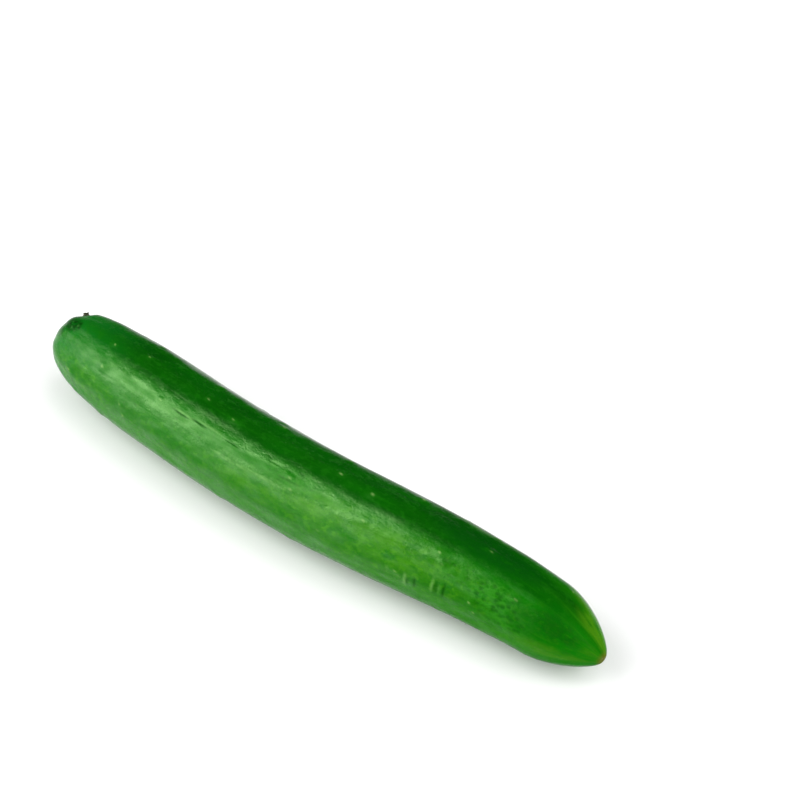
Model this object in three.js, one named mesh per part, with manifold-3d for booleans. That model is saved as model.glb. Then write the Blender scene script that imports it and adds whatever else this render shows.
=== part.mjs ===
// A Japanese cucumber as picked, lying on a table.
// Two pieces: the fruit, one solid with its shallow ribs, warts, stem pit, blossom scar and flat resting
// spot, and the short dry stub of the stem, which stands in the pit.
// Millimetres, +Z up. X runs along the fruit from the stem end to the blossom end. Both ends bend towards +Y.
// The origin is on the table, under the middle of the fruit.
import * as THREE from "three";
import { mergeVertices } from "three/addons/utils/BufferGeometryUtils.js";
import Module from "manifold-3d";

// Size of the fruit
const LENGTH = 222;
const RADIUS = 16;
const TIP_TAPER = 0.293; // share of the radius that the front half loses on its way to the blossom end

// Round ends. Each cap is (1 - (1 - d / length) ^ shoulder) ^ (1 / bluntness), where d is the distance from
// its end, drawn out near the end itself by the nose, which rounds the point
const STEM_CAP = { length: 47.5, shoulder: 1.92, bluntness: 4.5, nose: 0 };
const TIP_CAP = { length: 25.5, shoulder: 1.96, bluntness: 1.15, nose: 2.5 };

// Bend of the axis
const BOW = 5.9; // sideways, from mid length to the ends
const SKEW = 0.87; // makes the bow uneven from end to end
const TIP_DROP = 3.2; // the front half sinks as it tapers, so that its underside stays near the table
const TIP_BEND = { side: -3.4, length: 70 };
const STEM_BEND = { side: 1.75, rise: 0.95, length: 30 };

// Section
const RIBS = 10;
const RIB_DEPTH = 0.34; // from crest to groove
const LOBES = 3; // broad, one for each seed chamber
const LOBE_DEPTH = 0.22;
const REST_DEPTH = 0.7; // how far the underside is pressed flat where the fruit lies

// Ends in detail. The stem leaves the upper shoulder of its end, not the middle
const STEM_PLACE = { s: 3, angle: 0.97 };
const STEM_PIT = { radius: 5.6, depth: 1.2 };
const BLOSSOM_SCAR = { radius: 1.7, depth: 0.35 };
const STUB = { radius: 0.85, height: 1.1, ribs: 5, ribDepth: 0.1 };
// The stub from its foot to its broken end, as [share of the height, share of the radius]. Its height
// is measured from the foot
const STUB_OUTLINE = [[0.15, 1.4], [0.35, 1.12], [0.55, 1], [0.85, 1.02], [1, 1.14], [0.94, 0.6]];
const STUB_HOLLOW = 0.85; // height of the broken end's middle, as a share of the stub's height
const CLEARANCE = 0.3; // between the stub and the pit that it stands in

// Warts
const WARTS = 84;
const WART = { top: 0.6, foot: 2.6, height: 0.26, sink: 0.9, stretch: 1.3, sides: 6 };
const WART_SIZE = { least: 0.7, spread: 0.6 };
// Irrational steps from wart to wart, so that none line up
const WART_STEP = { along: 0.7548776662, around: 0.569840291, size: 0.6180339887 };
const WART_MARGIN = { stem: 14, tip: 16 }; // bare lengths at the two ends
const WART_OFF_CREST = 0.4; // 0 puts each wart on a rib's crest, 1 leaves it where it falls
const BARE_UNDERSIDE = 0.5; // radians each side of the lowest line

// Mesh density
const AROUND = 60;
const ALONG = 52;
const END_CROWDING = 0.72; // 0 spaces the rings evenly, 1 crowds them fully towards the ends
const PROFILE_STEPS = 4000;
const BOWL_FACETS = { around: 32, down: 24 };

const TURN = 2 * Math.PI;
const DOWN = -Math.PI / 2;
const UP = new THREE.Vector3(0, 0, 1);

const clamp = (value, low, high) => Math.min(high, Math.max(low, value));
const fraction = (value) => value - Math.floor(value);

// The fruit's form. s is the distance from the stem end, and angles run from the +Y side over the top

function cap(distance, { length, shoulder, bluntness, nose }) {
  const drawn = Math.sqrt(Math.max(0, distance) * (distance + 2 * nose));
  const inner = 1 - clamp(drawn / length, 0, 1);
  return (1 - inner ** shoulder) ** (1 / bluntness);
}

// 0 in the stem half, then rising to 1 at the blossom end
const front = (s) => clamp((2 * s) / LENGTH - 1, 0, 1);

// Radius of the fruit without ribs
function radiusAt(s) {
  return RADIUS * (1 - TIP_TAPER * front(s) ** 2) * cap(s, STEM_CAP) * cap(LENGTH - s, TIP_CAP);
}

// What the ribs and lobes take from the radius. A rib's crest lies on the lowest line
function reliefAt(s, angle) {
  const fade = radiusAt(s) / RADIUS;
  const fromBelow = angle - DOWN;
  const rib = 0.5 * RIB_DEPTH * (Math.cos(RIBS * fromBelow) - 1);
  const lobe = 0.5 * LOBE_DEPTH * (Math.cos(LOBES * fromBelow) - 1);
  return fade * (rib + lobe);
}

function axisAt(s) {
  const u = (2 * s) / LENGTH - 1;
  const bow = BOW * Math.sin(0.5 * Math.PI * u) ** 2 + SKEW * Math.sin(Math.PI * u);
  const stem = Math.max(0, 1 - s / STEM_BEND.length) ** 2;
  const tip = Math.max(0, 1 - (LENGTH - s) / TIP_BEND.length) ** 2;
  return new THREE.Vector3(
    s - LENGTH / 2,
    bow + stem * STEM_BEND.side + tip * TIP_BEND.side,
    RADIUS - REST_DEPTH + stem * STEM_BEND.rise - TIP_DROP * front(s) ** 2,
  );
}

// A point with three directions at right angles: forward, and side and up across it
function stationAt(s) {
  const step = 0.05;
  const forward = axisAt(s + step).sub(axisAt(s - step)).normalize();
  const side = new THREE.Vector3().crossVectors(UP, forward).normalize();
  const up = new THREE.Vector3().crossVectors(forward, side);
  return { point: axisAt(s), forward, side, up };
}

function pointAcross({ point, side, up }, radius, angle) {
  return point
    .clone()
    .addScaledVector(side, radius * Math.cos(angle))
    .addScaledVector(up, radius * Math.sin(angle));
}

function surfacePoint(s, angle) {
  return pointAcross(stationAt(s), radiusAt(s) + reliefAt(s, angle), angle);
}

// The same on the skin: forward is straight out of it, and side runs along the fruit
function skinStation({ s, angle }) {
  const step = 0.2;
  const point = surfacePoint(s, angle);
  const side = surfacePoint(s + step, angle).sub(surfacePoint(s - step, angle)).normalize();
  const turn = step / RADIUS;
  const across = surfacePoint(s, angle + turn).sub(surfacePoint(s, angle - turn)).normalize();
  const forward = new THREE.Vector3().crossVectors(across, side).normalize();
  const up = new THREE.Vector3().crossVectors(forward, side);
  return { point, forward, side, up };
}

// A point straight out of the skin, or into it when out is negative
const pointOut = ({ point, forward }, out) => point.clone().addScaledVector(forward, out);

// Solids

// A closed mesh through rings of points, from a first single point to a last one
function loft(first, rings, last) {
  const points = [first, ...rings.flat(), last];
  const around = rings[0].length;
  const at = (ring, k) => 1 + ring * around + (k % around);
  const faces = [];
  for (let k = 0; k < around; k += 1) {
    faces.push(0, at(0, k + 1), at(0, k));
    faces.push(points.length - 1, at(rings.length - 1, k), at(rings.length - 1, k + 1));
    for (let ring = 0; ring < rings.length - 1; ring += 1) {
      faces.push(at(ring, k), at(ring, k + 1), at(ring + 1, k + 1));
      faces.push(at(ring, k), at(ring + 1, k + 1), at(ring + 1, k));
    }
  }
  return new THREE.BufferGeometry().setFromPoints(points).setIndex(faces);
}

const wasm = await Module();
wasm.setup();

function toSolid(geometry) {
  const bare = geometry.clone();
  bare.deleteAttribute("normal");
  bare.deleteAttribute("uv");
  const merged = mergeVertices(bare, 1e-4);
  return new wasm.Manifold(
    new wasm.Mesh({
      numProp: 3,
      vertProperties: new Float32Array(merged.attributes.position.array),
      triVerts: new Uint32Array(merged.index.array),
    }),
  );
}

function toGeometry(solid) {
  const { vertProperties, triVerts } = solid.getMesh();
  const geometry = new THREE.BufferGeometry()
    .setAttribute("position", new THREE.BufferAttribute(vertProperties, 3))
    .setIndex(new THREE.BufferAttribute(triVerts, 1))
    .toNonIndexed();
  geometry.computeVertexNormals();
  return geometry;
}

// Fruit

// Stations along the fruit, spaced by the length of its outline and crowded towards the two ends
function fruitStations() {
  const outline = [];
  let run = 0;
  for (let k = 0; k <= PROFILE_STEPS; k += 1) {
    const s = LENGTH * (0.5 - 0.5 * Math.cos((Math.PI * k) / PROFILE_STEPS));
    const radius = radiusAt(s);
    if (k > 0) run += Math.hypot(s - outline[k - 1].s, radius - outline[k - 1].radius);
    outline.push({ s, radius, run });
  }
  return Array.from({ length: ALONG - 1 }, (_, k) => {
    const t = (k + 1) / ALONG;
    const reach = run * (t - (END_CROWDING / TURN) * Math.sin(TURN * t));
    return outline.find((place) => place.run >= reach).s;
  });
}

function fruitBody() {
  const rings = fruitStations().map((s) => {
    const station = stationAt(s);
    return Array.from({ length: AROUND }, (_, k) => {
      const angle = DOWN + (TURN * k) / AROUND;
      return pointAcross(station, radiusAt(s) + reliefAt(s, angle), angle);
    });
  });
  return loft(axisAt(0), rings, axisAt(LENGTH));
}

// Spread evenly by two irrational steps, then drawn towards the nearest rib
function wartPlaces() {
  const span = LENGTH - WART_MARGIN.stem - WART_MARGIN.tip;
  const places = [];
  for (let i = 1; i <= WARTS; i += 1) {
    const s = WART_MARGIN.stem + span * fraction(WART_STEP.along * i);
    const fromBelow = TURN * (fraction(WART_STEP.around * i) - 0.5);
    const crest = (TURN / RIBS) * Math.round((fromBelow * RIBS) / TURN);
    const angle = crest + (fromBelow - crest) * WART_OFF_CREST;
    const size = WART_SIZE.least + WART_SIZE.spread * fraction(WART_STEP.size * i);
    if (Math.abs(angle) > BARE_UNDERSIDE) places.push({ s, angle: DOWN + angle, size });
  }
  return places;
}

function wart(place) {
  const station = skinStation(place);
  const height = place.size * WART.height + WART.sink;
  const basis = new THREE.Matrix4()
    .makeBasis(station.side, station.forward, station.up.clone().negate())
    .setPosition(pointOut(station, height / 2 - WART.sink));
  return new THREE.CylinderGeometry(WART.top * place.size, WART.foot * place.size, height, WART.sides)
    .scale(WART.stretch, 1, 1)
    .applyMatrix4(basis);
}

// A hollow with the given radius at the skin is cut by a ball of this radius
const ballRadius = ({ radius, depth }) => (radius ** 2 + depth ** 2) / (2 * depth);

function hollow(station, size) {
  const ball = ballRadius(size);
  const centre = pointOut(station, ball - size.depth);
  return new THREE.SphereGeometry(ball, BOWL_FACETS.around, BOWL_FACETS.down).translate(...centre);
}

function fruitGeometry() {
  const warts = wartPlaces().map((place) => toSolid(wart(place)));
  const grown = wasm.Manifold.union([toSolid(fruitBody()), ...warts]);
  const table = new THREE.BoxGeometry(2 * LENGTH, 4 * RADIUS, RADIUS).translate(0, 0, -RADIUS / 2);
  const cuts = [hollow(skinStation(STEM_PLACE), STEM_PIT), hollow(stationAt(LENGTH), BLOSSOM_SCAR), table];
  return toGeometry(grown.subtract(wasm.Manifold.union(cuts.map(toSolid))));
}

// Stem stub

function stubGeometry() {
  const station = skinStation(STEM_PLACE);
  const ball = ballRadius(STEM_PIT);
  const pitFloor = (radius) => ball - STEM_PIT.depth - Math.sqrt(ball ** 2 - radius ** 2);
  const footRadius = STUB.radius * STUB_OUTLINE[0][1];
  const profile = [0.5 * footRadius, footRadius].map((radius) => [pitFloor(radius) + CLEARANCE, radius]);
  const foot = profile[1][0];
  STUB_OUTLINE.forEach(([height, width]) => profile.push([foot + height * STUB.height, width * STUB.radius]));
  const around = 4 * STUB.ribs;
  const rings = profile.map(([out, radius]) =>
    Array.from({ length: around }, (_, k) => {
      const angle = (TURN * k) / around;
      const rib = out > foot ? STUB.ribDepth * Math.cos(STUB.ribs * angle) : 0;
      return pointAcross({ ...station, point: pointOut(station, out) }, radius + rib, angle);
    }),
  );
  const foremost = pointOut(station, pitFloor(0) + CLEARANCE);
  return loft(foremost, rings, pointOut(station, foot + STUB_HOLLOW * STUB.height));
}

// Pieces

const skin = new THREE.MeshStandardMaterial({ color: 0x2c7a22, roughness: 0.38, metalness: 0 });
const dryStem = new THREE.MeshStandardMaterial({ color: 0x7d6f45, roughness: 0.9, metalness: 0 });

function piece(name, geometry, material) {
  const mesh = new THREE.Mesh(geometry, material);
  mesh.name = name;
  return mesh;
}

const cucumber = new THREE.Group();
cucumber.add(piece("fruit", fruitGeometry(), skin));
cucumber.add(piece("stem_stub", stubGeometry(), dryStem));

export default cucumber;
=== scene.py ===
# A Japanese cucumber lying on a plain pale surface.
# The fruit and its dry stem stub are finer pieces of the same form as the CAD nodes that they replace.
import math

import bpy
import numpy as np
from mathutils import Matrix, Vector, noise


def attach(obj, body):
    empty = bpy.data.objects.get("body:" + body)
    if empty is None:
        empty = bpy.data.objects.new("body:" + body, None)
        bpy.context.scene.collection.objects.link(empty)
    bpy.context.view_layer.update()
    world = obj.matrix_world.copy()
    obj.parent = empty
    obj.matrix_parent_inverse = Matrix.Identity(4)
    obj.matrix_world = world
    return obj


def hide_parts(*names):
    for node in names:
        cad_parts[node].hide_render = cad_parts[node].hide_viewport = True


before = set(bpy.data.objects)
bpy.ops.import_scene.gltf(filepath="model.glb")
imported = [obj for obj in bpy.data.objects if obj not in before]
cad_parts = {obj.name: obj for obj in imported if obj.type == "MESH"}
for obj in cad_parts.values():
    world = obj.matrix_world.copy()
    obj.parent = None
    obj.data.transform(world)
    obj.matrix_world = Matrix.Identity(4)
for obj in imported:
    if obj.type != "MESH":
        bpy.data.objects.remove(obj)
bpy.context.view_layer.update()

MM = 0.001
TURN = 2 * math.pi
DOWN = -math.pi / 2

# The fruit's form, in millimetres, with the values of the CAD part. s is the distance from the stem end,
# and angles run from the +Y side over the top
LENGTH = 222.0
RADIUS = 16.0
TIP_TAPER = 0.293
STEM_CAP = {"length": 47.5, "shoulder": 1.92, "bluntness": 4.5, "nose": 0.0}
TIP_CAP = {"length": 25.5, "shoulder": 1.96, "bluntness": 1.15, "nose": 2.5}
BOW, SKEW, TIP_DROP = 5.9, 0.87, 3.2
TIP_BEND = {"side": -3.4, "length": 70.0}
STEM_BEND = {"side": 1.75, "rise": 0.95, "length": 30.0}
RIBS, RIB_DEPTH = 10, 0.34
LOBES, LOBE_DEPTH = 3, 0.22
REST_DEPTH = 0.7
STEM_PLACE = (3.0, 0.97)  # s and angle
STEM_PIT = {"radius": 5.6, "depth": 1.2, "edge": 0.5}
BLOSSOM_SCAR = {"radius": 1.7, "depth": 0.35, "steepness": 1.5}
WARTS = 84
# Steps from wart to wart that spread them evenly, as shares of the length, of a turn and of the size's spread
WART_STEP = {"along": 0.7548776662, "around": 0.569840291, "size": 0.6180339887}
WART_MARGIN = {"stem": 14.0, "tip": 16.0}
WART_OFF_CREST = 0.4  # share that is left of each wart's turn away from the nearest rib
BARE_UNDERSIDE = 0.5  # turn from straight below, in radians, within which there are no warts
WART_SIZE = {"least": 0.7, "spread": 0.6}
WART = {"radius": 1.9, "height": 0.22, "stretch": 1.3}
WART_SCAR = (0.24, 0.08)  # shares of the wart's radius where its pale scar starts and where it is full

# Mesh density of the fine pieces, and the steps over which slopes are measured, in mm
AROUND = 280
ALONG = 338
END_CROWDING = 0.45
OUTLINE_SAMPLES = 4001
AXIS_STEP = 0.05
SKIN_STEP = 0.2


def cap(distance, form):
    """Share of the full radius at a distance from a rounded end."""
    drawn = np.sqrt(np.maximum(0, distance) * (distance + 2 * form["nose"]))
    inner = 1 - np.clip(drawn / form["length"], 0, 1)
    return (1 - inner ** form["shoulder"]) ** (1 / form["bluntness"])


def front(s):
    """0 on the stem's half, rising to 1 at the blossom end."""
    return np.clip(2 * s / LENGTH - 1, 0, 1)


def radius_at(s):
    return RADIUS * (1 - TIP_TAPER * front(s) ** 2) * cap(s, STEM_CAP) * cap(LENGTH - s, TIP_CAP)


def relief_at(s, angle):
    """Depth, below zero, between the ribs and between the lobes."""
    from_below = angle - DOWN
    rib = 0.5 * RIB_DEPTH * (np.cos(RIBS * from_below) - 1)
    lobe = 0.5 * LOBE_DEPTH * (np.cos(LOBES * from_below) - 1)
    return radius_at(s) / RADIUS * (rib + lobe)


def axis_at(s):
    s = np.asarray(s, float)
    u = 2 * s / LENGTH - 1
    bow = BOW * np.sin(0.5 * math.pi * u) ** 2 + SKEW * np.sin(math.pi * u)
    stem = np.maximum(0, 1 - s / STEM_BEND["length"]) ** 2
    tip = np.maximum(0, 1 - (LENGTH - s) / TIP_BEND["length"]) ** 2
    height = RADIUS - REST_DEPTH + stem * STEM_BEND["rise"] - TIP_DROP * front(s) ** 2
    return np.stack([s - LENGTH / 2, bow + stem * STEM_BEND["side"] + tip * TIP_BEND["side"], height], -1)


def unit(v):
    return v / np.linalg.norm(v, axis=-1, keepdims=True)


def station_at(s):
    """Point on the axis, and the three directions forward, side and up."""
    forward = unit(axis_at(s + AXIS_STEP) - axis_at(s - AXIS_STEP))
    side = unit(np.cross([0, 0, 1.0], forward))
    return axis_at(s), forward, side, np.cross(forward, side)


def surface_point(s, angle, extra=0.0):
    point, _, side, up = station_at(s)
    reach = (radius_at(s) + relief_at(s, angle) + extra)[..., None]
    return point + reach * (np.cos(angle)[..., None] * side + np.sin(angle)[..., None] * up)


def skin_station(s, angle):
    """Point on the skin, and the directions straight out of it, along it and across it."""
    s, angle = np.float64(s), np.float64(angle)
    along = unit(surface_point(s + SKIN_STEP, angle) - surface_point(s - SKIN_STEP, angle))
    turn = SKIN_STEP / RADIUS
    across = unit(surface_point(s, angle + turn) - surface_point(s, angle - turn))
    out = unit(np.cross(across, along))
    return surface_point(s, angle), out, along, np.cross(out, along)


def smooth(value, low, high):
    """0 up to low and 1 from high on, with a smooth rise between. It falls where high is under low."""
    t = np.clip((value - low) / (high - low), 0, 1)
    return t * t * (3 - 2 * t)


def skin_distance(s, angle, place, size_along, size_across):
    """Distance over the skin from a place, as a share of the given sizes."""
    turn = (angle - place[1] + math.pi) % TURN - math.pi
    return np.hypot((s - place[0]) / size_along, RADIUS * turn / size_across)


# Fine relief of the fruit

def wart_places():
    span = LENGTH - WART_MARGIN["stem"] - WART_MARGIN["tip"]
    places = []
    for i in range(1, WARTS + 1):
        s = WART_MARGIN["stem"] + span * (WART_STEP["along"] * i % 1)
        from_below = TURN * (WART_STEP["around"] * i % 1 - 0.5)
        crest = TURN / RIBS * math.floor(from_below * RIBS / TURN + 0.5)
        angle = crest + (from_below - crest) * WART_OFF_CREST
        size = WART_SIZE["least"] + WART_SIZE["spread"] * (WART_STEP["size"] * i % 1)
        if abs(angle) > BARE_UNDERSIDE:
            places.append((s, DOWN + angle, size))
    return places


def wart_fields(s, angle):
    """Height in mm, and how much each point belongs to a wart and to the pale scar on its tip."""
    height, body, scar = np.zeros_like(s), np.zeros_like(s), np.zeros_like(s)
    long_radius = WART["stretch"] * WART["radius"]
    for place_s, place_angle, size in wart_places():
        away = skin_distance(s, angle, (place_s, place_angle), long_radius, WART["radius"]) / size
        dome = np.clip(1 - away ** 2, 0, None) ** 2
        height = np.maximum(height, WART["height"] * size * dome)
        body = np.maximum(body, dome)
        scar = np.maximum(scar, smooth(away, *WART_SCAR))
    return height, body, scar


# Low swellings: size along and around in mm, height in mm, and where in the noise each layer lies
SWELLINGS = [(26.0, 11.0, 0.16, 3.0), (9.0, 5.0, 0.11, 17.0), (4.5, 3.0, 0.05, 41.0)]
# Places where the fruit grew fuller, as (s, angle in degrees, length along, width across, height), in mm
FULLER = [
    (104, 124, 30, 9, 0.35), (155, 90, 32, 9, 0.38), (40, 84, 26, 9, -0.2), (70, 150, 34, 8, 0.2),
    (128, 168, 30, 9, 0.25), (186, 124, 22, 8, -0.2), (90, 10, 36, 10, 0.3), (98, 98, 36, 6, 0.15),
    (150, 300, 34, 10, 0.3), (60, 270, 30, 10, 0.3),
]
SWELLING_FADE = (0.2, 0.8)  # shares of the full radius, towards each end


def swelling(s, angle):
    """Uneven growth, in mm, that breaks up the reflections."""
    y, z = RADIUS * np.cos(angle), RADIUS * np.sin(angle)
    total = np.zeros_like(s)
    for size_along, size_around, height, shift in SWELLINGS:
        places = np.stack([s / size_along + shift, y / size_around, z / size_around], -1).reshape(-1, 3)
        values = [noise.noise(Vector(p)) for p in places.tolist()]
        total += height * np.array(values).reshape(s.shape)
    for place_s, degrees, size_along, size_across, height in FULLER:
        away = skin_distance(s, angle, (place_s, math.radians(degrees)), size_along, size_across)
        total += height * np.clip(1 - away ** 2, 0, None) ** 2
    return total * smooth(radius_at(s) / RADIUS, *SWELLING_FADE)


# Marks on the skin by kind, as (s, angle in degrees, length along, width across, strength), in mm
MARKS = {
    "pale": [
        # scratches along the fruit
        (66, 120, 6, 0.5, 0.7), (76, 117, 6, 0.5, 0.7), (88, 137.5, 9, 0.6, 0.8), (103, 135, 9, 0.55, 0.7),
        # strokes across it
        (156.5, 170, 0.45, 3.4, 1.0), (165.7, 159, 0.45, 4.6, 1.0), (168.7, 160, 0.4, 3.6, 0.8),
        (150, 166, 0.35, 2, 0.5),
        # painted highlights: glints beside the stem
        (8.6, 100.5, 0.6, 1.0, 1.0), (5.2, 98, 0.5, 0.7, 0.7), (6.8, 108, 0.5, 0.7, 0.6),
    ],
    "dark": [
        # cracks along the fruit
        (65, 122.5, 5, 0.45, 1.0), (72.5, 120, 5, 0.45, 1.0), (86.5, 119.5, 4.5, 0.45, 0.8),
        (103, 114, 4, 0.5, 0.6), (60, 106, 6, 0.5, 0.5), (110, 124, 7, 0.5, 0.5),
        # strokes across it
        (157.7, 171, 0.6, 3.2, 1.0), (160, 168, 0.5, 2.8, 0.8), (167.2, 160, 0.65, 5.2, 1.0),
        (170.3, 160, 0.6, 4.4, 1.0), (163, 164, 0.4, 2.5, 0.5), (151.5, 167, 0.4, 2.2, 0.5),
    ],
    # Dark places, partly painted shade
    "darker": [
        # beside the stem: the dark stem scar, with painted shade of a pit and of the outline there
        (6.0, 103, 6.0, 6.0, 1.0), (3.0, 86, 4.5, 6.0, 0.7), (3.5, 125, 3.0, 5.0, 0.6),
        # towards the blossom end, one of them painted shade that carries the shaded upper back on
        (207, 128, 13, 9, 0.55), (177, 81, 30, 9, 0.8), (199, 142, 12, 8, 0.45),
    ],
    # Yellowish green at the blossom end
    "olive": [
        (213, 34, 17, 10, 1.0), (217, 64, 11, 11, 1.0), (220, 140, 5, 12, 0.3), (209, 172, 17, 5, 0.45),
        (214, 250, 12, 9, 0.5),
    ],
    # Pitted skin
    "dimpled": [
        (187, 137, 14, 8, 1.0), (192, 152, 15, 8, 0.7), (172, 128, 14, 6, 0.5), (112, 118, 20, 5, 0.4),
    ],
    # Lighter patches
    "patch": [
        (98, 152, 16, 6, 1.0), (151, 140, 22, 7, 1.0), (122, 133, 14, 5, 0.7), (70, 20, 18, 6, 0.8),
        (130, 330, 24, 7, 0.9), (40, 255, 15, 7, 0.7), (172, 45, 16, 5, 0.7),
    ],
    # A warmer green
    "warm": [
        (146, 147, 60, 12, 0.9), (22, 162, 24, 9, 0.8), (75, 162, 42, 8, 0.4), (120, 320, 70, 14, 0.7),
    ],
    # Painted light: lighter green on the upper back of the tip
    "tip_painted_light": [(206, 36, 30, 13, 1.0)],
    # Dark specks beside the stem
    "specks": [
        (4.5, 104, 1.0, 1.3, 1.0), (6.2, 97, 1.0, 1.4, 1.0), (7.7, 105, 1.0, 1.5, 1.0),
        (8.9, 96, 0.8, 1.2, 0.8), (5.9, 111, 0.9, 1.4, 0.9), (9.6, 103, 0.9, 1.2, 0.8),
        (3.6, 95, 1.0, 1.2, 0.8), (7.4, 113, 0.7, 1.0, 0.6),
    ],
    # Where the waxy film is thicker
    "gleam": [
        (88, 132, 16, 3.4, 0.6), (118, 133, 30, 3.4, 0.3), (88, 110.5, 24, 4.2, 1.0),
        (42, 113, 18, 3.4, 0.8), (126, 112.5, 16, 3.2, 0.7), (128, 132, 18, 4, 0.7),
        (166, 117, 12, 4, 0.5),
    ],
    # Where the waxy film is rubbed off
    "dull": [
        (108, 124.5, 40, 3.1, 0.92), (138, 97, 15, 5, 0.9), (68, 149, 9, 4, 0.6), (24, 104, 20, 4, 0.6),
        (78, 131, 11, 5, 0.8), (46, 128, 14, 4, 0.5), (12, 128, 14, 10, 0.8), (198, 132, 24, 14, 1.0),
        (30, 134, 14, 6, 0.4),
    ],
}
MARK_EDGE = (1.0, 0.35)  # shares of a mark's size where it starts and where it is full
PAINTED_SHADE_LINE = math.radians(70)  # painted shade: the skin is darkest along this angle, on the upper back, and painted lighter away from it

# Where other changes of the skin start and where they are full, in mm
TO_TIP = (34, 0)  # from the blossom end
TO_STEM = (45, 0)  # from the stem end, as the next two
NEAR_STEM = (55, 15)
FAR = (120, 190)
BLOSSOM = (3.4, 0.8)  # from the middle of the blossom scar
PIT = (4.6, 1.5)  # from the middle of the stem's pit
CREST_FADE = (0.25, 0.85)  # in shares of the full radius


def marks(s, angle, table):
    total = np.zeros_like(s)
    for place_s, degrees, size_along, size_across, strength in table:
        away = skin_distance(s, angle, (place_s, math.radians(degrees)), size_along, size_across)
        total = np.maximum(total, strength * smooth(away, *MARK_EDGE))
    return total


# Meshes

def loft(name, first, rings, last, fields):
    """A closed mesh through rings of points, in mm, with a value of each field at every point."""
    count, around = rings.shape[:2]
    points = np.concatenate([first[None], rings.reshape(-1, 3), last[None]]) * MM
    k = np.arange(around)
    turned = (k + 1) % around
    faces = [(0, 1 + int(b), 1 + int(a)) for a, b in zip(k, turned)]
    end = len(points) - 1
    base = 1 + (count - 1) * around
    faces += [(end, base + int(a), base + int(b)) for a, b in zip(k, turned)]
    start = 1 + np.arange(count - 1)[:, None] * around
    quads = np.stack([start + k, start + turned, start + around + turned, start + around + k], -1)
    faces += quads.reshape(-1, 4).tolist()
    mesh = bpy.data.meshes.new(name)
    mesh.from_pydata(points.tolist(), [], faces)
    mesh.shade_smooth()
    for field, values in fields.items():
        flat = np.ascontiguousarray(values, np.float32)
        kind, key = ("FLOAT_VECTOR", "vector") if flat.ndim == 2 else ("FLOAT", "value")
        mesh.attributes.new(field, kind, "POINT").data.foreach_set(key, flat.ravel())
    piece = bpy.data.objects.new(name, mesh)
    bpy.context.scene.collection.objects.link(piece)
    return piece


def fruit_stations():
    """Distances from the stem end of all rings, closer together towards both ends."""
    s = LENGTH * (0.5 - 0.5 * np.cos(np.linspace(0, math.pi, OUTLINE_SAMPLES)))
    run = np.concatenate([[0], np.cumsum(np.hypot(np.diff(s), np.diff(radius_at(s))))])
    t = np.arange(1, ALONG) / ALONG
    return np.interp(run[-1] * (t - END_CROWDING / TURN * np.sin(TURN * t)), run, s)


def pit_floor(aside):
    """Height over the skin, in mm, of the ball-shaped pit at a distance from its middle line."""
    ball = (STEM_PIT["radius"] ** 2 + STEM_PIT["depth"] ** 2) / (2 * STEM_PIT["depth"])
    return ball - STEM_PIT["depth"] - np.sqrt(np.clip(ball ** 2 - aside ** 2, 0, None))


def soft_minimum(a, b, blend):
    share = np.clip(0.5 + 0.5 * (b - a) / blend, 0, 1)
    return b + (a - b) * share - blend * share * (1 - share)


def make_fruit():
    s, angle = np.meshgrid(fruit_stations(), DOWN + TURN * np.arange(AROUND) / AROUND, indexing="ij")
    wart_height, wart, wart_scar = wart_fields(s, angle)
    rings = surface_point(s, angle, wart_height + swelling(s, angle))

    pit_point, pit_out, _, _ = skin_station(*STEM_PLACE)
    from_pit = rings - pit_point
    pit_away = np.linalg.norm(from_pit, axis=-1)
    height = from_pit @ pit_out
    hollow = pit_floor(np.sqrt(pit_away ** 2 - height ** 2))
    rings = rings + (soft_minimum(height, hollow, STEM_PIT["edge"]) - height)[..., None] * pit_out

    tip_point, tip_out, _, _ = station_at(np.float64(LENGTH))
    scar_away = np.linalg.norm(rings - tip_point, axis=-1)
    bowl = np.clip(1 - (scar_away / BLOSSOM_SCAR["radius"]) ** 2, 0, None)
    dent = bowl ** BLOSSOM_SCAR["steepness"]
    rings = rings - BLOSSOM_SCAR["depth"] * dent[..., None] * tip_out
    rings[..., 2] = np.maximum(rings[..., 2], 0)

    on_crest = 0.5 + 0.5 * np.cos(RIBS * (angle - DOWN))
    fields = {
        "wart": wart,
        "wart_scar": wart_scar,
        "crest": on_crest * smooth(radius_at(s) / RADIUS, *CREST_FADE),
        "to_tip": smooth(LENGTH - s, *TO_TIP),
        "to_stem": smooth(s, *TO_STEM),
        "near_stem": smooth(s, *NEAR_STEM),
        "far": smooth(s, *FAR),
        "blossom": smooth(scar_away, *BLOSSOM),
        "pit": smooth(pit_away, *PIT),
        "from_painted_shade_line": np.abs(np.degrees((angle - PAINTED_SHADE_LINE + math.pi) % TURN - math.pi)),
    }
    fields.update({name: marks(s, angle, table) for name, table in MARKS.items()})
    fields = {key: np.concatenate([[v[0, 0]], v.ravel(), [v[-1, 0]]]) for key, v in fields.items()}
    # In these coordinates the streaks meet at the tip but not at the stem end
    reach = np.where(s < LENGTH / 2, radius_at(s), RADIUS)
    skin = np.stack([s, reach * np.cos(angle), reach * np.sin(angle)], -1)
    fields["skin"] = np.concatenate([[[0, 0, 0]], skin.reshape(-1, 3), [[LENGTH, 0, 0]]])
    return loft("fruit_skin", axis_at(0.0), rings, tip_point - BLOSSOM_SCAR["depth"] * tip_out, fields)


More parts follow.
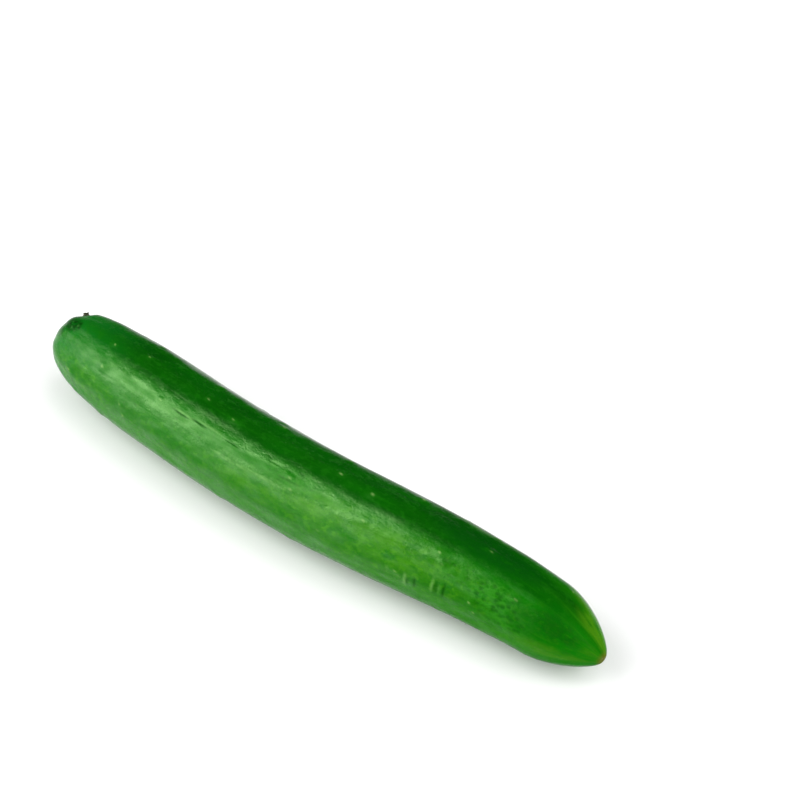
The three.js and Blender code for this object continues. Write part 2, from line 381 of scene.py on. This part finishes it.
# The stub from its foot to its broken end, as height and radius in mm
STUB_PROFILE = [
    (-0.89, 0.3), (-0.87, 0.9), (-0.82, 1.13), (-0.74, 1.2), (-0.66, 1.17), (-0.54, 1.04), (-0.4, 0.92),
    (-0.22, 0.86), (-0.04, 0.85), (0.09, 0.88), (0.19, 0.94), (0.25, 0.97), (0.27, 0.9), (0.22, 0.66),
    (0.15, 0.42), (0.1, 0.2),
]
STUB_NECK = 0.85  # radius, in mm, inside which the relief fades
STUB_END = 0.09  # height of the middle of the broken end, in mm
STUB_AROUND = 120
STUB_RINGS = 70
STUB_RIBS = [(0.1, 5, 0), (0.025, 17, 2), (0.014, 31, 0)]  # depth in mm, number, and twist per mm of height
STUB_SPLINTERS = [(0.07, 7, 1), (0.04, 13, 0)]  # height in mm, number and turn
STUB_RAGGED = (-0.1, 0.2)  # heights, in mm, between which the splinters start and are full
STUB_BROKEN = (-0.7, -0.2)  # height less radius, in mm, where the broken end's colour starts and is full
STUB_SKIN_ENDS = (-1, 0.3)  # coordinates along the stub, for the noises, at its two ends
BLUR = (1, 2, 3, 2, 1)


def make_stub():
    point, out, along, across = skin_station(*STEM_PLACE)
    profile = np.array(STUB_PROFILE)
    run = np.concatenate([[0], np.cumsum(np.hypot(*np.diff(profile, axis=0).T))])
    t = np.linspace(0, run[-1], STUB_RINGS)
    height, radius = np.interp(t, run, profile[:, 0]), np.interp(t, run, profile[:, 1])
    blur = np.array(BLUR) / sum(BLUR)
    margin = len(BLUR) // 2
    inner = slice(margin, -margin)
    height[inner], radius[inner] = np.convolve(height, blur, "valid"), np.convolve(radius, blur, "valid")
    angle = TURN * np.arange(STUB_AROUND) / STUB_AROUND
    height, angle = np.meshgrid(height, angle, indexing="ij")
    radius = np.repeat(radius[:, None], STUB_AROUND, 1)
    share = np.minimum(radius / STUB_NECK, 1)
    rib = sum(depth * np.cos(number * angle + twist * height) for depth, number, twist in STUB_RIBS)
    splinters = sum(size * np.cos(number * angle + turn) for size, number, turn in STUB_SPLINTERS)
    reach = radius + share * rib
    height = height + smooth(height, *STUB_RAGGED) * splinters * share
    sideways = np.cos(angle)[..., None] * along + np.sin(angle)[..., None] * across
    rings = point + height[..., None] * out + reach[..., None] * sideways
    broken = smooth(height - reach, *STUB_BROKEN)
    skin = np.stack([height, np.cos(angle), np.sin(angle)], -1)
    foot, end = STUB_SKIN_ENDS
    fields = {
        "broken": np.concatenate([[0], broken.ravel(), [1]]),
        "skin": np.concatenate([[[foot, 0, 0]], skin.reshape(-1, 3), [[end, 0, 0]]]),
    }
    return loft("stem_stub_fine", point + STUB_PROFILE[0][0] * out, rings, point + STUB_END * out, fields)


# Materials. A source is a field of the mesh or a noise. A factor names a source, alone or with the two values
# between which it rises smoothly from 0 to 1. A term is a strength and the factors that multiply it

class Paint:
    """One procedural material, built node by node."""

    def __init__(self, name):
        self.material = bpy.data.materials.new(name)
        self.material.use_nodes = True
        self.tree = self.material.node_tree
        self.shader = self.tree.nodes["Principled BSDF"]
        self.source = {}

    def put(self, kind, inputs, **settings):
        node = self.tree.nodes.new(kind)
        for key, value in settings.items():
            setattr(node, key, value)
        for key, value in inputs.items():
            self.feed(node.inputs[key], value)
        return node

    def feed(self, socket, value):
        if isinstance(value, bpy.types.NodeSocket):
            self.tree.links.new(value, socket)
        else:
            socket.default_value = value

    def set(self, **inputs):
        """Sets inputs of the shader, with a space for each underscore in their names."""
        for key, value in inputs.items():
            self.feed(self.shader.inputs[key.replace("_", " ")], value)

    def field(self, name, output="Fac"):
        return self.put("ShaderNodeAttribute", {}, attribute_name=name).outputs[output]

    def stretched_skin(self, along, around, shift):
        scale = (along, around, around)
        inputs = {"Vector": self.field("skin", "Vector"), "Location": (shift, 0, 0), "Scale": scale}
        return self.put("ShaderNodeMapping", inputs).outputs["Vector"]

    def add_sources(self, fields, noises, cells):
        for name in fields:
            self.source[name] = self.field(name)
        for name, (along, around, shift, detail, roughness) in noises.items():
            vector = self.stretched_skin(along, around, shift)
            inputs = {"Vector": vector, "Scale": 1.0, "Detail": detail, "Roughness": roughness}
            self.source[name] = self.put("ShaderNodeTexNoise", inputs).outputs["Fac"]
        for name, (along, around, shift) in cells.items():
            inputs = {"Vector": self.stretched_skin(along, around, shift), "Scale": 1.0}
            self.source[name] = self.put("ShaderNodeTexVoronoi", inputs).outputs["Distance"]

    def compute(self, operation, a, b):
        return self.put("ShaderNodeMath", {0: a, 1: b}, operation=operation).outputs["Value"]

    def factor(self, name, low=None, high=None):
        if low is None:
            return self.source[name]
        inputs = {"Value": self.source[name], "From Min": low, "From Max": high}
        return self.put("ShaderNodeMapRange", inputs, interpolation_type="SMOOTHSTEP").outputs["Result"]

    def product(self, value, factors):
        for factor in factors:
            value = self.compute("MULTIPLY", value, self.factor(*factor))
        return value

    def total(self, base, terms):
        for strength, *factors in terms:
            base = self.compute("ADD", base, self.product(strength, factors))
        return base

    def layered(self, base, layers):
        """The base colour under layers, each of them a colour and a term that gives its share."""
        colour = (*base, 1)
        for tint, strength, *factors in layers:
            node = self.put("ShaderNodeMix", {}, data_type="RGBA")
            self.feed(node.inputs["Factor"], self.product(strength, factors))
            self.feed(node.inputs[6], colour)
            self.feed(node.inputs[7], (*tint, 1))
            colour = node.outputs[2]
        return colour

    def bump(self, height, distance):
        inputs = {"Height": height, "Distance": distance, "Strength": 1.0}
        return self.put("ShaderNodeBump", inputs).outputs["Normal"]


SKIN_FIELDS = (
    "wart", "wart_scar", "crest", "to_tip", "to_stem", "near_stem", "far", "blossom", "pit", "from_painted_shade_line",
    *MARKS,
)
# Noises as (scale along, scale around, shift, detail, roughness), and cells as the first three of these
SKIN_NOISES = {
    "broad": (0.035, 0.07, 0, 3.0, 0.55),
    "blotch": (0.14, 0.26, 3, 4.0, 0.6),
    "mottle": (0.35, 0.50, 7, 3.0, 0.6),
    "streak": (0.03, 0.75, 11, 4.0, 0.6),
    "film": (0.14, 0.36, 17, 3.0, 0.55),
    "brushed": (0.20, 0.50, 23, 2.0, 0.5),
    "fleck": (0.42, 0.50, 31, 3.0, 0.6),
    "grain": (1.3, 1.6, 5, 2.0, 0.5),
}
SKIN_CELLS = {"dots": (0.55, 0.8, 0), "hollows": (0.42, 0.50, 2)}
# Sources that are totals of others, as a base and terms
SKIN_TOTALS = {
    "flecked": (0.25, [(0.75, ("warm",))]),
    "olive_or_tip": (0.0, [(1.0, ("olive",)), (0.06, ("to_tip",))]),
}
DARK_GREEN = (0.0006, 0.054, 0.0006)
SKIN_LAYERS = [
    # the darkest side, and the lighter one under it: painted shade on the upper back and painted light
    # towards the front and underside
    ((0.0010, 0.074, 0.0008), 1.0, ("broad", 0.35, 0.68)),
    ((0.0040, 0.125, 0.0010), 0.8, ("to_tip", 0.50, 0.95)),
    ((0.0040, 0.138, 0.0012), 0.9, ("from_painted_shade_line", 31, 47), ("mottle", 0.15, 0.45)),
    ((0.026, 0.195, 0.002), 0.7, ("from_painted_shade_line", 80, 115)),
    # towards the stem, warmer patches, and towards the tip, with painted light on the upper back of the tip
    ((0.004, 0.150, 0.012), 0.7, ("to_stem",)),
    ((0.030, 0.190, 0.0015), 0.75, ("warm",), ("blotch", 0.30, 0.56)),
    ((0.0010, 0.150, 0.0010), 0.8, ("to_tip",), ("from_painted_shade_line", 5, 45)),
    ((0.0080, 0.170, 0.0010), 0.6, ("tip_painted_light",)),
    # the whitish bloom of the wax, kept off the shaded top: partly real bloom, partly a painted sheen
    ((0.035, 0.180, 0.030), 0.5, ("film", 0.44, 0.72), ("from_painted_shade_line", 31, 47), ("mottle", 0.15, 0.45),
     ("to_tip", 0.3, 0)),
    # blotches, flecks with their shadows, and streaks
    ((0.004, 0.110, 0.001), 0.4, ("blotch", 0.45, 0.72)),
    ((0.006, 0.120, 0.002), 0.45, ("mottle", 0.50, 0.68)),
    ((0.065, 0.270, 0.008), 0.5, ("fleck", 0.50, 0.66), ("from_painted_shade_line", 34, 50), ("flecked",)),
    ((0.004, 0.105, 0.002), 0.35, ("fleck", 0.48, 0.32), ("from_painted_shade_line", 34, 50), ("warm",)),
    ((0.006, 0.115, 0.002), 0.3, ("streak", 0.52, 0.70), ("to_stem", 0.9, 0)),
    ((0.022, 0.200, 0.003), 0.7, ("streak", 0.52, 0.70), ("to_stem", 0.9, 0), ("to_tip",)),
    ((0.005, 0.100, 0.001), 0.25, ("crest",)),
    ((0.040, 0.210, 0.002), 0.6, ("patch",), ("blotch", 0.36, 0.62)),
    # pores, warts and their scars
    ((0.016, 0.150, 0.008), 0.25, ("dots", 0.20, 0.05)),
    ((0.001, 0.045, 0.001), 0.25, ("grain", 0.60, 0.75)),
    ((0.012, 0.140, 0.005), 0.35, ("wart",)),
    ((0.200, 0.360, 0.100), 0.6, ("wart_scar",)),
    # scratches, strokes and dimples, and painted glints beside the stem
    ((0.180, 0.400, 0.100), 0.5, ("pale",), ("mottle", 0.30, 0.55)),
    ((0.001, 0.045, 0.001), 0.8, ("dark",)),
    ((0.026, 0.215, 0.010), 0.65, ("dimpled",), ("mottle", 0.36, 0.60)),
    ((0.002, 0.070, 0.002), 0.65, ("dimpled",), ("hollows", 0.55, 0.15)),
    # the two ends, with painted shade beside the stem
    ((0.070, 0.235, 0.005), 0.7, ("olive_or_tip",), ("blotch", 0.22, 0.62)),
    ((0.130, 0.120, 0.010), 0.8, ("blossom",)),
    ((0.001, 0.055, 0.002), 0.9, ("darker", 0, 1), ("mottle", 0.20, 0.55)),
    ((0.003, 0.040, 0.004), 0.6, ("pit",)),
    ((0.001, 0.026, 0.001), 0.8, ("specks",)),
]
SKIN_ROUGHNESS = (0.22, [
    (0.10, ("mottle", 0.35, 0.70)), (0.4, ("pit",)), (0.2, ("pale",)), (0.2, ("blossom",)),
])
# How strongly the waxy film mirrors: its thickness, its share around the fruit, and what wears it off
FILM = (0.52, [(0.50, ("film", 0.32, 0.68)), (-0.18, ("streak", 0.52, 0.66)), (0.40, ("gleam",))])
FILM_AROUND = (0.10, [(0.87, ("from_painted_shade_line", 29, 42)), (-0.70, ("from_painted_shade_line", 58, 96))])
FILM_WEAR = [("dull", 1.6, 0), ("far", 1.6, 0), ("near_stem", 1.8, 0), ("to_tip", 1.6, 0), ("dark", 1.3, 0)]
FILM_TINT = (0.58, 1.0, 0.40, 1)
SKIN_RELIEF = [
    (0.30, ("mottle",)), (0.05, ("grain",)), (0.26, ("brushed",)), (0.08, ("dots", 0.25, 0)),
    (-0.12, ("dimpled",), ("hollows", 0.55, 0.15)), (-0.15, ("dark",)), (0.08, ("pale",)),
]
SKIN_BUMP = 0.4 * MM


def skin_material():
    paint = Paint("cucumber_skin")
    paint.add_sources(SKIN_FIELDS, SKIN_NOISES, SKIN_CELLS)
    for name, (base, terms) in SKIN_TOTALS.items():
        paint.source[name] = paint.total(base, terms)
    film = paint.compute("MULTIPLY", paint.total(*FILM), paint.total(*FILM_AROUND))
    paint.set(
        Base_Color=paint.layered(DARK_GREEN, SKIN_LAYERS),
        Roughness=paint.total(*SKIN_ROUGHNESS),
        Specular_IOR_Level=paint.product(film, FILM_WEAR),
        Specular_Tint=FILM_TINT,
        Normal=paint.bump(paint.total(0.0, SKIN_RELIEF), SKIN_BUMP),
    )
    return paint.material


STUB_NOISES = {"fibre": (0.5, 4.0, 0, 5.0, 0.6), "blotch": (1.1, 1.1, 4, 3.0, 0.55)}
DARK_BROWN = (0.018, 0.024, 0.008)
STUB_LAYERS = [
    ((0.085, 0.075, 0.028), 1.0, ("fibre", 0.38, 0.66)),
    ((0.010, 0.022, 0.006), 0.7, ("blotch", 0.45, 0.66)),
    ((0.055, 0.055, 0.022), 0.5, ("broken",)),
]
STUB_ROUGHNESS = (0.7, [(0.2, ("fibre", 0.3, 0.7))])
STUB_BUMP = 0.15 * MM


def stub_material():
    paint = Paint("dry_stem")
    paint.add_sources(("broken",), STUB_NOISES, {})
    paint.set(
        Base_Color=paint.layered(DARK_BROWN, STUB_LAYERS),
        Roughness=paint.total(*STUB_ROUGHNESS),
        Normal=paint.bump(paint.source["fibre"], STUB_BUMP),
    )
    return paint.material


FLOOR_COLOUR = (0.92, 0.92, 0.92, 1)
FLOOR_ROUGHNESS = 0.85
FLOOR_GLOSS = 0.2


def floor_material():
    paint = Paint("pale_surface")
    paint.set(Base_Color=FLOOR_COLOUR, Roughness=FLOOR_ROUGHNESS, Specular_IOR_Level=FLOOR_GLOSS)
    return paint.material


fruit = make_fruit()
fruit.data.materials.append(skin_material())
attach(fruit, "root")
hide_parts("fruit")

stub = make_stub()
stub.data.materials.append(stub_material())
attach(stub, "root")
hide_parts("stem_stub")

# Surface, light and camera, in metres
FLOOR_SIZE = 8.0
FLOOR_DROP = 0.00005  # keeps the floor clear of the flat spot that rests on it

bpy.ops.mesh.primitive_plane_add(size=FLOOR_SIZE, location=(0, 0, -FLOOR_DROP))
floor = bpy.context.object
floor.name = "floor"
floor.data.materials.append(floor_material())


# Directions are given as the camera sees them: to its right, forward over the floor, and up
CAMERA_RIGHT = Vector((0.762, 0.647, 0.0))
CAMERA_FORWARD = Vector((-0.647, 0.762, 0.0))

# A softbox to the left is two lights. One is only mirrored, and its upper edge, nearly overhead, ends the
# sheen on the fruit in a line. The other, slightly apart from it, lights the surfaces. The skin mirrors the
# low light too. The rest of the room is dark there, because the other lights and the world only fill in.
# Each light has a place, the direction of its width, its size, its radiance, and what it works on
SHEEN_WIDTH = (-0.565, 0.643, -0.517)
FORWARD, RIGHT = (0, 1, 0), (1, 0, 0)
SOFTBOX_SIZE = (1.40, 0.99)
LIGHTS = [
    ("softbox_sheen", (-0.882, 0.143, 0.757), SHEEN_WIDTH, SOFTBOX_SIZE, 3.9, "glossy"),
    ("softbox", (-0.86, 0.02, 0.79), SHEEN_WIDTH, SOFTBOX_SIZE, 2.5, "diffuse"),
    ("softbox_right", (0.95, -0.65, 0.9), FORWARD, (1.2, 1.0), 2.3, "diffuse"),
    ("softbox_low", (-1.2, -0.2, 0.34), FORWARD, (1.6, 0.62), 1.9, "both"),
    ("top", (0.9, 0.2, 1.5), RIGHT, (1.8, 1.8), 1.1, "diffuse"),
]
WORLD_STRENGTH = 0.50


def seen_from_camera(right, forward, height):
    return CAMERA_RIGHT * right + CAMERA_FORWARD * forward + Vector((0, 0, height))


def area_light(name, place, width, size, radiance, works_on):
    """A soft rectangular light that faces the origin. Radiance 1 shows as plain white."""
    light = bpy.data.lights.new(name, "AREA")
    light.shape = "RECTANGLE"
    light.size, light.size_y = size
    light.energy = radiance * math.pi * size[0] * size[1]
    place, width = seen_from_camera(*place), seen_from_camera(*width)
    back = place.normalized()
    wide = (width - back * width.dot(back)).normalized()
    turn = Matrix((wide, back.cross(wide), back)).transposed()
    lamp = bpy.data.objects.new(name, light)
    lamp.matrix_world = Matrix.Translation(place) @ turn.to_4x4()
    lamp.visible_diffuse = works_on != "glossy"
    lamp.visible_glossy = works_on != "diffuse"
    bpy.context.scene.collection.objects.link(lamp)


for row in LIGHTS:
    area_light(*row)

world = bpy.data.worlds.new("dim_room")
world.use_nodes = True
background = world.node_tree.nodes["Background"]
background.inputs["Color"].default_value = (1, 1, 1, 1)
background.inputs["Strength"].default_value = WORLD_STRENGTH
world.cycles_visibility.glossy = False
bpy.context.scene.world = world
bpy.context.scene.view_settings.view_transform = "Standard"

CAMERA_PLACE = (0.30857, -0.36353, 0.54458)
CAMERA_AIM = (0.00931, 0.03594, 0.03424)
LENS, SENSOR = 100.0, 36.0  # in mm
CLIP = (0.02, 50.0)

camera = bpy.data.cameras.new("camera")
camera.lens, camera.sensor_width = LENS, SENSOR
camera.clip_start, camera.clip_end = CLIP
view = bpy.data.objects.new("camera", camera)
bpy.context.scene.collection.objects.link(view)
view.location = CAMERA_PLACE
view.rotation_euler = (Vector(CAMERA_AIM) - Vector(CAMERA_PLACE)).to_track_quat("-Z", "Y").to_euler()
bpy.context.scene.camera = view
